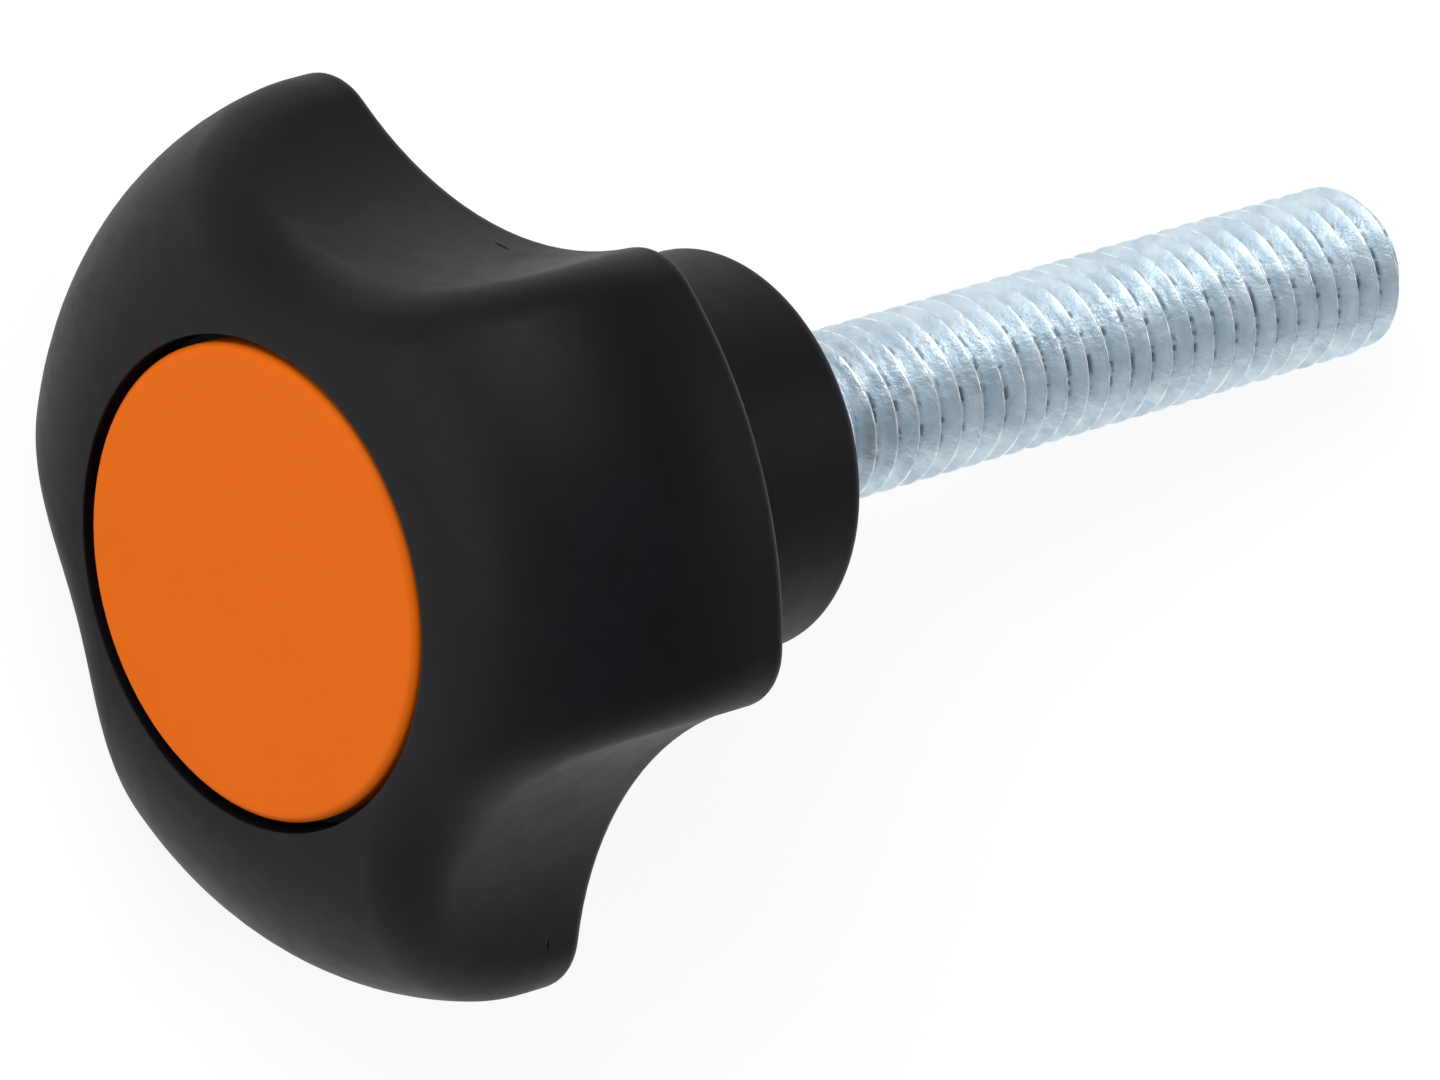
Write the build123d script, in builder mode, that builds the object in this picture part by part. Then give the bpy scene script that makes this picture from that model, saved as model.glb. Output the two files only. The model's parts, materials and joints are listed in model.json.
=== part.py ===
"""Three-lobe star knob with a threaded stud: a moulded body, a press-in cap and a moulded-in steel stud.

Each piece is modelled about its own axis: Z = 0 is the seat at the rear of the boss, the cap faces +Z and the stud
points to -Z. At the end the knob is laid on its side, on two lobes and the end of the stud, as it lies on a bench.
Sizes are in millimetres and degrees.
"""

import os
from math import asin, atan2, degrees, hypot, radians, tan

from build123d import *

# ---- Driving dimensions ----

# Body
lobe_count = 3
knob_diameter = 32.0
knob_height = 21.5  # seat to front face
boss_diameter = 14.0
boss_height = 11.9
boss_edge_radius = 0.5

# Lobes
dome_depth = 8.2  # how far down the sides the dome reaches
scallop_radius = 13.8
scallop_axis_distance = 25.0  # knob axis to scallop axis
lip_radius = 2.5  # blend between a scallop and the dome
rear_edge_radius = 0.5

# Cap and its seat
cap_diameter = 16.4
cap_thickness = 1.6
cap_edge_chamfer = 0.2
cap_gap = 0.34  # visible ring round the cap
skirt_diameter = 13.6
skirt_wall = 1.1
skirt_length = 3.2
skirt_clearance = 0.04  # on the radius, between skirt and core
bead_height = 0.3  # how far the snap bead stands out of the skirt
bead_width = 0.9
bead_clearance = 0.05
core_depth = 6.2  # below the cap's shoulder

# Stud
thread_diameter = 6.0
stud_length = 30.0  # out of the boss
stud_end_chamfer = 0.75
neck_diameter = 5.35  # the blank that the thread was rolled on, where the moulding grips it
run_out_angle = 45  # of the cone between the thread and the neck, just inside the boss
head_sides = 6
head_across_flats = 8.5
head_length = 5.0
head_depth = 4.5  # seat to the near side of the head
undercut_diameter = 6.6
undercut_width = 1.4

# ---- Worked out ----

quarter_turn = 90
knob_radius = knob_diameter / 2
lobe_pitch = 360 / lobe_count
cap_radius = cap_diameter / 2
rim_radius = cap_radius + cap_gap
shoulder = knob_height - cap_thickness
skirt_radius = skirt_diameter / 2
core_radius = skirt_radius + skirt_clearance
bead_level = shoulder - skirt_length + bead_width
stud_radius = thread_diameter / 2
neck_radius = neck_diameter / 2
run_out = (stud_radius - neck_radius) / tan(radians(run_out_angle))
undercut_level = head_depth + head_length / 2


def snap_ring(radius, height, width, level):
    """A ring with sloping flanks that stands out of a wall of the given radius."""
    foot = width / 2
    crest = width / 6
    with BuildPart() as ring:
        with BuildSketch(Plane.XZ):
            with BuildLine():
                Polyline(
                    (radius - height, level - foot),
                    (radius, level - foot),
                    (radius + height, level - crest),
                    (radius + height, level + crest),
                    (radius, level + foot),
                    (radius - height, level + foot),
                    close=True,
                )
            make_face()
        revolve(axis=Axis.Z)
    return ring.part


# ---- Steel stud: a threaded shank with a hexagon head that the moulding grips ----

with BuildPart() as threaded_stud:
    with BuildSketch(Plane.XY.offset(-stud_length)):
        Circle(stud_radius)
    extrude(amount=stud_length)
    chamfer(threaded_stud.edges().sort_by(Axis.Z)[0], stud_end_chamfer)
    with BuildSketch(Plane.XY):
        Circle(stud_radius)
    extrude(amount=run_out, taper=run_out_angle)
    with BuildSketch(Plane.XY):
        Circle(neck_radius)
    extrude(amount=head_depth)
    with BuildSketch(Plane.XY.offset(head_depth)):
        RegularPolygon(head_across_flats / 2, head_sides, major_radius=False)
    extrude(amount=head_length)
    with BuildSketch(Plane.XY.offset(undercut_level - undercut_width / 2)):
        Circle(head_across_flats)
        Circle(undercut_diameter / 2, mode=Mode.SUBTRACT)
    extrude(amount=undercut_width, mode=Mode.SUBTRACT)

# ---- Cap: a flat disc on a skirt with a snap bead ----

with BuildPart() as cap:
    with BuildSketch(Plane.XY.offset(shoulder)):
        Circle(cap_radius)
    extrude(amount=cap_thickness)
    chamfer(cap.edges().sort_by(Axis.Z)[-1], cap_edge_chamfer)
    with BuildSketch(Plane.XY.offset(shoulder)):
        Circle(skirt_radius)
        Circle(skirt_radius - skirt_wall, mode=Mode.SUBTRACT)
    extrude(amount=-skirt_length)
    add(snap_ring(skirt_radius, bead_height, bead_width, bead_level))

# ---- Body: a domed blank with scallops, a boss behind it and a core in front ----

with BuildPart() as knob_body:
    # The dome runs as a quarter ellipse from the rim of the cap's seat to the full diameter.
    with BuildSketch(Plane.XZ):
        with BuildLine():
            dome = EllipticalCenterArc(
                (rim_radius, knob_height - dome_depth),
                knob_radius - rim_radius,
                dome_depth,
                start_angle=0,
                arc_size=quarter_turn,
            )
            Polyline(dome @ 1, (0, knob_height), (0, boss_height), (knob_radius, boss_height), dome @ 0)
        make_face()
    revolve(axis=Axis.Z)

    # Scallops leave the lobes between them, and a soft lip joins each to the dome.
    with BuildSketch(Plane.XY.offset(boss_height)):
        with PolarLocations(scallop_axis_distance, lobe_count, start_angle=lobe_pitch / 2):
            Circle(scallop_radius)
    scallops = extrude(amount=knob_height, mode=Mode.SUBTRACT)
    scallop_walls = knob_body.faces().filter_by(GeomType.CYLINDER).filter_by(lambda wall: wall.is_circular_concave)
    lips = scallop_walls.edges().filter_by(lambda edge: edge.bounding_box().max.Z > boss_height + rear_edge_radius)
    fillet(lips, lip_radius)
    fillet(knob_body.faces().sort_by(Axis.Z)[0].edges(), rear_edge_radius)

    # Boss, with its rear face as the seat.
    with BuildSketch(Plane.XY):
        Circle(boss_diameter / 2)
    extrude(amount=boss_height)
    fillet(knob_body.faces().sort_by(Axis.Z)[0].edges(), boss_edge_radius)

    # Seat of the cap, and the core below it with a groove for the snap bead.
    with BuildSketch(Plane.XY.offset(shoulder)):
        Circle(rim_radius)
    extrude(amount=cap_thickness, mode=Mode.SUBTRACT)
    with BuildSketch(Plane.XY.offset(shoulder - core_depth)):
        Circle(core_radius)
    extrude(amount=core_depth, mode=Mode.SUBTRACT)
    add(
        snap_ring(core_radius, bead_height + bead_clearance, bead_width + 2 * bead_clearance, bead_level),
        mode=Mode.SUBTRACT,
    )

    # The stud is moulded in, so the body takes its exact shape.
    add(threaded_stud.part, mode=Mode.SUBTRACT)

# ---- Lay the knob down: two lobes touch at their rear corners, and the stud at its end ----

# Corner of a lobe: where the blend between the lobe and the scallop comes lowest.
lobe_arm = knob_radius - lip_radius
scallop_arm = scallop_radius + lip_radius
toward_scallop = (lobe_arm**2 + scallop_axis_distance**2 - scallop_arm**2) / (2 * scallop_axis_distance)
corner_drop = toward_scallop + lip_radius - rear_edge_radius
across = corner_drop - stud_radius
along = stud_length - stud_end_chamfer + boss_height + rear_edge_radius
tilt = atan2(across, along) + asin(rear_edge_radius / hypot(across, along))

pieces = {"knob_body": knob_body, "cap": cap, "threaded_stud": threaded_stud}
tipped = Rotation(0, degrees(tilt) - quarter_turn, 0)
lying_box = Compound([piece.part.moved(tipped) for piece in pieces.values()]).bounding_box()
rest = Location((-lying_box.center().X, 0, -lying_box.min.Z)) * tipped

os.makedirs("parts", exist_ok=True)
for name, piece in pieces.items():
    piece.part.locate(rest)
    piece.part.label = name
    export_step(piece.part, f"parts/{name}.step")
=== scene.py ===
import json
import math

import bmesh
import bpy
from mathutils import Matrix, Vector


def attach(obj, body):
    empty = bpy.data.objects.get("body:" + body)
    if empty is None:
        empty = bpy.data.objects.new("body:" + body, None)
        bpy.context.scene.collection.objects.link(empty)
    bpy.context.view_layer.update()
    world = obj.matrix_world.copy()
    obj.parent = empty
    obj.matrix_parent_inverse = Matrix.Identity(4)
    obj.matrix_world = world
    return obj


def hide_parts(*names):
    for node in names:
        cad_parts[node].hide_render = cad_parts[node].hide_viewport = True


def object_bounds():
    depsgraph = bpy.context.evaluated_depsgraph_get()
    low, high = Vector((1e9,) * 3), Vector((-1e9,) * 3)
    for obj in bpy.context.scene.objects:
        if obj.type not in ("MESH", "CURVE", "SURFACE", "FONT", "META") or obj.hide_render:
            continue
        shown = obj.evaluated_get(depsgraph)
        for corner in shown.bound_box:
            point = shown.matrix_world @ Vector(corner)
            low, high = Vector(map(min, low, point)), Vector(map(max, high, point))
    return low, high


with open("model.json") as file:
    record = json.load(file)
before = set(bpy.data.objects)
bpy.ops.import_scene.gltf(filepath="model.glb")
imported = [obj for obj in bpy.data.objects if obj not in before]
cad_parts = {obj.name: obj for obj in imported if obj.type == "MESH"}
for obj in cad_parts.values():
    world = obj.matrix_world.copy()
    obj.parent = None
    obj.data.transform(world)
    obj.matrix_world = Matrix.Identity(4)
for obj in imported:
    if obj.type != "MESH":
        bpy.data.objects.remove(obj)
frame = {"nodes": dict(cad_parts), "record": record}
cad_low, cad_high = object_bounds()
nodes = frame["nodes"]
mounts = {mount["name"]: mount for mount in frame["record"]["mounts"]}

MM = 0.001


# ---- The knob's own axes: Z runs from the stud's tip towards the cap, with its origin on the seat ----

stud_mount = mounts["stud"]
stud_wall = stud_mount["dims"]["length_mm"]
axis_z = -Vector(stud_mount["axis"]).normalized()
axis_y = Vector((0.0, 1.0, 0.0))
axis_x = axis_y.cross(axis_z).normalized()
knob_frame = Matrix((axis_x, axis_y, axis_z)).transposed().to_4x4()
knob_frame.translation = Vector(stud_mount["pos_m"]) + axis_z * (stud_wall * MM / 2)


# ---- Node helpers ----

# Noise stays mostly within these spans of its value.
WIDE = (0.3, 0.7)
NARROW = (0.35, 0.65)
WHOLE = (0.0, 1.0)
FALLING = (1.0, 0.0)


def new_material(name):
    material = bpy.data.materials.new(name)
    material.use_nodes = True
    tree = material.node_tree
    shader = next(node for node in tree.nodes if node.type == "BSDF_PRINCIPLED")
    return material, tree, shader


def feed(tree, socket, value):
    """Link the socket to another node's output, or set it to a plain value."""
    if isinstance(value, bpy.types.NodeSocket):
        tree.links.new(value, socket)
    else:
        socket.default_value = value


def add(tree, kind, settings=None, **inputs):
    """A node with its properties from settings and its inputs from values or from other nodes' outputs."""
    node = tree.nodes.new(kind)
    for key, value in (settings or {}).items():
        setattr(node, key, value)
    for key, value in inputs.items():
        feed(tree, node.inputs[key.replace("_", " ")], value)
    return node


def math_node(tree, operation, a, b):
    node = add(tree, "ShaderNodeMath", {"operation": operation})
    for socket, value in zip(node.inputs, (a, b)):
        feed(tree, socket, value)
    return node.outputs[0]


def remap(tree, value, span, to_span):
    """Turn the first span of values smoothly into the second."""
    node = add(tree, "ShaderNodeMapRange", {"interpolation_type": "SMOOTHSTEP"}, Value=value)
    node.inputs["From Min"].default_value, node.inputs["From Max"].default_value = span
    node.inputs["To Min"].default_value, node.inputs["To Max"].default_value = to_span
    return node.outputs["Result"]


def mix_colour(tree, factor, a, b):
    node = add(tree, "ShaderNodeMix", {"data_type": "RGBA"}, Factor=factor)
    colours = [socket for socket in node.inputs if socket.type == "RGBA"]
    for socket, value in zip(colours, (a, b)):
        feed(tree, socket, value)
    return next(socket for socket in node.outputs if socket.type == "RGBA")


def noise(tree, place, size, detail, roughness):
    """Noise whose blobs are about that size in metres."""
    inputs = {"Vector": place, "Scale": 1 / size, "Detail": detail, "Roughness": roughness}
    return add(tree, "ShaderNodeTexNoise", None, **inputs).outputs["Fac"]


def bump(tree, height, strength, distance, normal=None):
    node = add(tree, "ShaderNodeBump", None, Height=height, Strength=strength, Distance=distance)
    if normal is not None:
        tree.links.new(normal, node.inputs["Normal"])
    return node.outputs["Normal"]


def soft_edges(tree, radius):
    """Normals that turn over the edges, as a small rounding does."""
    return add(tree, "ShaderNodeBevel", {"samples": 8}, Radius=radius).outputs["Normal"]


def place_of(tree):
    return tree.nodes.new("ShaderNodeTexCoord").outputs["Object"]


# ---- Black nylon: satin moulding with a fine grain and two nicks on its parting line ----

# Ends of each nick in mm, in the knob's axes.
NICKS = [
    ((6.88, 9.05, 13.35), (7.78, 8.69, 13.55)),
    ((0.91, -14.16, 13.63), (0.62, -14.62, 13.59)),
]
NICK_WIDTH = 0.14 * MM
NICK_DEPTH = 0.08 * MM
# A nick fades out towards its ends, so its spindle is a little longer than the nick.
NICK_SPREAD = 1.2
NICK_CORE = (0.5, 1.0)


def nick(tree, place, start, end):
    """1 inside a small spindle between those two points, 0 outside it."""
    start, end = (knob_frame @ (Vector(point) * MM) for point in (start, end))
    turn = (end - start).to_track_quat("X", "Z").to_euler()
    half_size = Vector(((end - start).length * NICK_SPREAD, NICK_WIDTH, NICK_WIDTH)) / 2
    own = add(
        tree,
        "ShaderNodeMapping",
        {"vector_type": "TEXTURE"},
        Vector=place,
        Location=(start + end) / 2,
        Rotation=turn,
        Scale=half_size,
    )
    reach = add(tree, "ShaderNodeVectorMath", {"operation": "LENGTH"}, Vector=own.outputs["Vector"])
    return remap(tree, reach.outputs["Value"], NICK_CORE, FALLING)


def black_nylon():
    dark = (0.0023, 0.0019, 0.0030, 1.0)
    pale = (0.0038, 0.0033, 0.0048, 1.0)
    satin = (0.47, 0.53)
    scuffed = (-0.02, 0.03)

    material, tree, shader = new_material("black_nylon_moulding")
    place = place_of(tree)
    grain = noise(tree, place, 0.16 * MM, 3.0, 0.6)
    cloud = noise(tree, place, 4.5 * MM, 3.0, 0.55)
    scuff = noise(tree, place, 0.9 * MM, 5.0, 0.7)
    nicks = math_node(tree, "MAXIMUM", *[nick(tree, place, *ends) for ends in NICKS])

    tree.links.new(mix_colour(tree, remap(tree, cloud, NARROW, WHOLE), dark, pale), shader.inputs["Base Color"])
    rough = math_node(tree, "ADD", remap(tree, cloud, WIDE, satin), remap(tree, scuff, (0.35, 0.7), scuffed))
    tree.links.new(math_node(tree, "MAXIMUM", rough, nicks), shader.inputs["Roughness"])
    shader.inputs["Specular IOR Level"].default_value = 0.165
    shader.inputs["Specular Tint"].default_value = (0.97, 0.94, 1.0, 1.0)
    nicked = bump(tree, math_node(tree, "SUBTRACT", 1.0, nicks), 1.0, NICK_DEPTH, soft_edges(tree, 0.12 * MM))
    tree.links.new(bump(tree, grain, 0.12, 0.02 * MM, nicked), shader.inputs["Normal"])
    return material


# ---- Orange cap: smooth matt moulding ----

def orange_plastic():
    deep = (0.675, 0.120, 0.0010, 1.0)
    bright = (0.690, 0.123, 0.0016, 1.0)
    matt = (0.50, 0.56)

    material, tree, shader = new_material("orange_cap_moulding")
    place = place_of(tree)
    grain = noise(tree, place, 0.11 * MM, 3.0, 0.6)
    cloud = noise(tree, place, 3.0 * MM, 2.0, 0.5)

    tree.links.new(mix_colour(tree, remap(tree, cloud, NARROW, WHOLE), deep, bright), shader.inputs["Base Color"])
    tree.links.new(remap(tree, cloud, WIDE, matt), shader.inputs["Roughness"])
    shader.inputs["Specular IOR Level"].default_value = 0.09
    tree.links.new(bump(tree, grain, 0.10, 0.012 * MM, soft_edges(tree, 0.35 * MM)), shader.inputs["Normal"])
    return material


# ---- Zinc-plated steel of the rolled thread: painted shade here and there in the roots, painted highlights and a smoother finish on the crests ----

# Point attribute of the thread's mesh: 0 at the root and 1 at the crest.
HEIGHT = "height"


def zinc_steel():
    cold = (0.585, 0.705, 0.785, 1.0)
    warm = (0.71, 0.81, 0.88, 1.0)
    # Painted shade in the roots, standing in for the shade between the turns of the thread.
    painted_root_shade = (0.17, 0.21, 0.25, 1.0)
    # Painted highlight on the crests, standing in for the glints along them.
    painted_crest_highlight = (0.88, 0.93, 0.96, 1.0)
    satin = (0.42, 0.60)
    polish = (0.0, 0.16)

    material, tree, shader = new_material("zinc_plated_steel")
    place = place_of(tree)
    patch = noise(tree, place, 0.9 * MM, 4.0, 0.65)
    speck = noise(tree, place, 0.16 * MM, 3.0, 0.6)
    tint = noise(tree, place, 1.1 * MM, 3.0, 0.55)
    breaks = noise(tree, place, 0.5 * MM, 2.0, 0.5)
    height = add(tree, "ShaderNodeAttribute", {"attribute_name": HEIGHT}).outputs["Fac"]

    plating = mix_colour(tree, remap(tree, tint, NARROW, WHOLE), cold, warm)
    # Painted shade: the roots are darkened in broken patches where shade falls between the turns.
    in_root = remap(tree, height, (0.05, 0.32), FALLING)
    root_shade_mask = math_node(tree, "MULTIPLY", in_root, remap(tree, breaks, (0.48, 0.60), (0.15, 1.0)))
    # Painted highlight: the crests are made brighter in broken stretches.
    on_crest = remap(tree, height, (0.93, 0.99), WHOLE)
    bright = math_node(tree, "MULTIPLY", on_crest, remap(tree, breaks, (0.45, 0.6), WHOLE))
    root_shaded_plating = mix_colour(tree, root_shade_mask, plating, painted_root_shade)
    tree.links.new(mix_colour(tree, bright, root_shaded_plating, painted_crest_highlight), shader.inputs["Base Color"])

    shader.inputs["Metallic"].default_value = 1.0
    polished = remap(tree, height, (0.9, 1.0), polish)
    rough = math_node(tree, "SUBTRACT", remap(tree, patch, WIDE, satin), polished)
    tree.links.new(rough, shader.inputs["Roughness"])
    dented = bump(tree, patch, 0.8, 0.10 * MM)
    tree.links.new(bump(tree, speck, 0.3, 0.012 * MM, dented), shader.inputs["Normal"])
    return material


# ---- Threaded stud, in mm along the knob's axes: a rolled M6 x 1 right-hand thread with a chamfered end ----

MAJOR = stud_mount["dims"]["r_mm"]
PITCH = 1.0
DEPTH = 0.613
FLANK_ANGLE = math.radians(30)
ROOT_RADIUS = 0.144
CREST_HALF = 0.035
# Two rows on the flank lie this far before the crest's corner, and the next lies past it, a little lower.
FLANK_ROWS = (0.16, 0.018)
CORNER_ALONG = 0.012
CORNER_DROP = 0.004
# Share of the crest that is at the full radius.
CREST_FLAT = 0.4
END_CHAMFER = 0.75
LENGTH = stud_wall + END_CHAMFER
# How far the thread goes on into the boss.
RUN_IN = 0.25
# This far from the seat, a crest passes this angle round the stud.
CREST_PLACE = 5.933
CREST_ANGLE = 92.55
COLUMNS = 96
# The chamfer and the end face are as bright as the flanks at this share of the depth.
FLANK_HEIGHT = 0.6
MERGE_DISTANCE = 0.002
SHARP_ANGLE = math.radians(40)


def root_arc(angle):
    """A point of the round root, (place along, radius), at that angle from its middle."""
    return ROOT_RADIUS * math.sin(angle), MAJOR - DEPTH + ROOT_RADIUS * (1 - math.cos(angle))


def thread_profile():
    """Points (place along, radius) from the middle of one root to just before the next."""
    flank_foot, foot_radius = root_arc(math.radians(90) - FLANK_ANGLE)
    corner = PITCH / 2 - CREST_HALF
    slope = (MAJOR - foot_radius) / (corner - flank_foot)
    rows = [corner - before for before in FLANK_ROWS]
    flank = [(place, foot_radius + (place - flank_foot) * slope) for place in rows]
    crest = [(corner + CORNER_ALONG, MAJOR - CORNER_DROP), (PITCH / 2 - CREST_HALF * CREST_FLAT, MAJOR)]
    half = [root_arc(0.0), root_arc(FLANK_ANGLE), (flank_foot, foot_radius), *flank, *crest]
    return half + [(PITCH - place, radius) for place, radius in reversed(half[1:])]


def profile_radius(profile, place):
    place %= PITCH
    closed = profile + [(PITCH, profile[0][1])]
    spans = zip(closed, closed[1:])
    (place_0, radius_0), (place_1, radius_1) = next(span for span in spans if place <= span[1][0])
    return radius_0 + (radius_1 - radius_0) * (place - place_0) / (place_1 - place_0)


def rod_point(profile, start, row, turn):
    """The rod's point in that row after that share of a turn, and its height on the thread."""
    along = row + (turn - 1) * PITCH - LENGTH
    held = min(max(along, -LENGTH), RUN_IN)
    threaded = profile_radius(profile, held + LENGTH - (turn + start) * PITCH)
    chamfered = MAJOR - END_CHAMFER + held + LENGTH
    radius = min(threaded, chamfered)
    height = FLANK_HEIGHT if chamfered < threaded else (threaded - MAJOR + DEPTH) / DEPTH
    angle = 2 * math.pi * turn
    return (radius * math.cos(angle) * MM, radius * math.sin(angle) * MM, held * MM), height


def rod_faces(row_count, lead):
    """Faces between the rows; where the columns come round again, the helix is lead rows further along."""
    faces = []
    for row in range(row_count - 1):
        first = row * COLUMNS
        above = first + COLUMNS
        faces += [(first + i, first + i + 1, above + i + 1, above + i) for i in range(COLUMNS - 1)]
    for row in range(row_count - 1 - lead):
        last = row * COLUMNS + COLUMNS - 1
        next_first = (row + lead) * COLUMNS
        faces.append((last, next_first, next_first + COLUMNS, last + COLUMNS))
    return faces


def threaded_rod():
    """The thread's mesh, in rows that climb with the helix and are held between the tip and the run-in."""
    profile = thread_profile()
    start = ((LENGTH - CREST_PLACE) / PITCH - CREST_ANGLE / 360 - 0.5) % 1
    turns = range(-2, int(LENGTH / PITCH) + 3)
    rows = [(turn + start) * PITCH + place for turn in turns for place, _ in profile]
    points = [rod_point(profile, start, row, column / COLUMNS) for row in rows for column in range(COLUMNS)]
    mesh = bpy.data.meshes.new("stud_thread")
    mesh.from_pydata([place for place, _ in points], [], rod_faces(len(rows), len(profile)))
    mesh.attributes.new(HEIGHT, "FLOAT", "POINT").data.foreach_set("value", [height for _, height in points])
    mesh.update()
    return mesh


def close_rod(mesh):
    """Merge the rows held at either end and close the two end faces."""
    bm = bmesh.new()
    bm.from_mesh(mesh)
    bmesh.ops.remove_doubles(bm, verts=bm.verts, dist=MERGE_DISTANCE * MM)
    bmesh.ops.dissolve_degenerate(bm, edges=bm.edges, dist=MERGE_DISTANCE / 2 * MM)
    bmesh.ops.delete(bm, geom=[vert for vert in bm.verts if not vert.link_faces], context="VERTS")
    bmesh.ops.holes_fill(bm, edges=[edge for edge in bm.edges if edge.is_boundary], sides=0)
    bmesh.ops.recalc_face_normals(bm, faces=bm.faces)
    bm.to_mesh(mesh)
    bm.free()


rod_mesh = threaded_rod()
close_rod(rod_mesh)
rod_mesh.transform(knob_frame)
rod_mesh.shade_smooth()
rod_mesh.set_sharp_from_angle(angle=SHARP_ANGLE)
rod_mesh.materials.append(zinc_steel())
rod = bpy.data.objects.new("stud_thread", rod_mesh)
bpy.context.scene.collection.objects.link(rod)
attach(rod, "root")
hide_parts("threaded_stud")


# ---- Materials of the CAD nodes ----

def dress(node, material):
    node.data.materials.clear()
    node.data.materials.append(material)


dress(nodes["knob_body"], black_nylon())
dress(nodes["cap"], orange_plastic())


# ---- Floor: white to the camera and in reflections, and it keeps the soft shadow ----

FLOOR_HALF = 1.5
FLOOR_DROP = 0.02 * MM
FLOOR_GLOW = 0.86


def floor_material():
    material, tree, shader = new_material("pale_floor")
    shader.inputs["Base Color"].default_value = (0.9, 0.9, 0.9, 1.0)
    shader.inputs["Roughness"].default_value = 0.9
    shader.inputs["Specular IOR Level"].default_value = 0.1
    path = tree.nodes.new("ShaderNodeLightPath").outputs
    seen = math_node(tree, "MAXIMUM", path["Is Camera Ray"], path["Is Glossy Ray"])
    seen = math_node(tree, "MAXIMUM", seen, path["Is Transmission Ray"])
    shade = add(tree, "ShaderNodeBsdfDiffuse", None, Color=(0.2, 0.2, 0.2, 1.0))
    glow = add(tree, "ShaderNodeEmission", None, Color=(1.0, 1.0, 1.0, 1.0), Strength=FLOOR_GLOW)
    white = tree.nodes.new("ShaderNodeAddShader")
    tree.links.new(shade.outputs[0], white.inputs[0])
    tree.links.new(glow.outputs[0], white.inputs[1])
    share = tree.nodes.new("ShaderNodeMixShader")
    for socket, value in zip(share.inputs, (seen, shader.outputs[0], white.outputs[0])):
        tree.links.new(value, socket)
    output = next(node for node in tree.nodes if node.type == "OUTPUT_MATERIAL")
    tree.links.new(share.outputs[0], output.inputs["Surface"])
    return material


corners = [(x * FLOOR_HALF, y * FLOOR_HALF, 0) for x, y in ((-1, -1), (1, -1), (1, 1), (-1, 1))]
floor_mesh = bpy.data.meshes.new("floor")
floor_mesh.from_pydata(corners, [], [(0, 1, 2, 3)])
floor_mesh.materials.append(floor_material())
floor = bpy.data.objects.new("floor", floor_mesh)
floor.location.z = cad_low.z - FLOOR_DROP
bpy.context.scene.collection.objects.link(floor)


# ---- World: white to the camera; to the object it is pale round the sides and darker overhead ----

SKY_COLOUR = (0.93, 0.96, 1.0, 1.0)
SKY_LEVELS = (0.05, 0.7)
SKY_STRENGTHS = (0.60, 0.4)


def studio_world():
    world = bpy.data.worlds.new("studio")
    world.use_nodes = True
    tree = world.node_tree
    background = next(node for node in tree.nodes if node.type == "BACKGROUND")
    background.inputs["Color"].default_value = SKY_COLOUR
    path = tree.nodes.new("ShaderNodeLightPath").outputs
    seen = math_node(tree, "MAXIMUM", path["Is Camera Ray"], path["Is Transmission Ray"])
    direction = tree.nodes.new("ShaderNodeTexCoord").outputs["Generated"]
    upward = add(tree, "ShaderNodeSeparateXYZ", None, Vector=direction).outputs["Z"]
    lit = remap(tree, upward, SKY_LEVELS, SKY_STRENGTHS)
    tree.links.new(math_node(tree, "MAXIMUM", lit, seen), background.inputs["Strength"])
    return world


bpy.context.scene.world = studio_world()


# ---- Camera, fitted to the knob's outline, the cap's rim and the thread ----

CAMERA_PLACE = Vector((-0.28741616, 0.02492232, 0.58850994))
CAMERA_RIGHT = Vector((0.86571348, -0.24682424, 0.43545145))
CAMERA_UP = Vector((0.24037679, 0.96809069, 0.0708479))

camera = bpy.data.objects.new("camera", bpy.data.cameras.new("camera"))
bpy.context.scene.collection.objects.link(camera)
camera_turn = Matrix((CAMERA_RIGHT, CAMERA_UP, CAMERA_RIGHT.cross(CAMERA_UP))).transposed().to_4x4()
camera.matrix_world = Matrix.Translation(CAMERA_PLACE) @ camera_turn
camera.data.sensor_fit = "HORIZONTAL"
camera.data.sensor_width = 36.0
camera.data.lens = 473.684
camera.data.clip_start = 0.01
camera.data.clip_end = 10.0
bpy.context.scene.camera = camera


# ---- Lamps ----

# Name, direction from the object, distance, size and power.
LAMPS = [
    ("lamp_key", (-0.38, 0.68, 0.8), 0.55, (0.4, 0.3), 1.65),
    ("lamp_left", (-1.0, 0.2, 0.15), 0.5, (0.4, 0.3), 1.0),
    ("lamp_right", (0.81, 0.0, 0.59), 0.5, (0.25, 0.06), 0.25),
]


def soft_lamp(name, direction, distance, size, power):
    """An area lamp on that side of the object, facing its middle."""
    data = bpy.data.lights.new(name, "AREA")
    data.shape = "RECTANGLE"
    data.size, data.size_y = size
    data.energy = power
    lamp = bpy.data.objects.new(name, data)
    bpy.context.scene.collection.objects.link(lamp)
    offset = Vector(direction).normalized() * distance
    lamp.location = (cad_low + cad_high) / 2 + offset
    lamp.rotation_mode = "QUATERNION"
    lamp.rotation_quaternion = offset.to_track_quat("Z", "Y")


for lamp in LAMPS:
    soft_lamp(*lamp)

bpy.context.scene.view_settings.view_transform = "Standard"
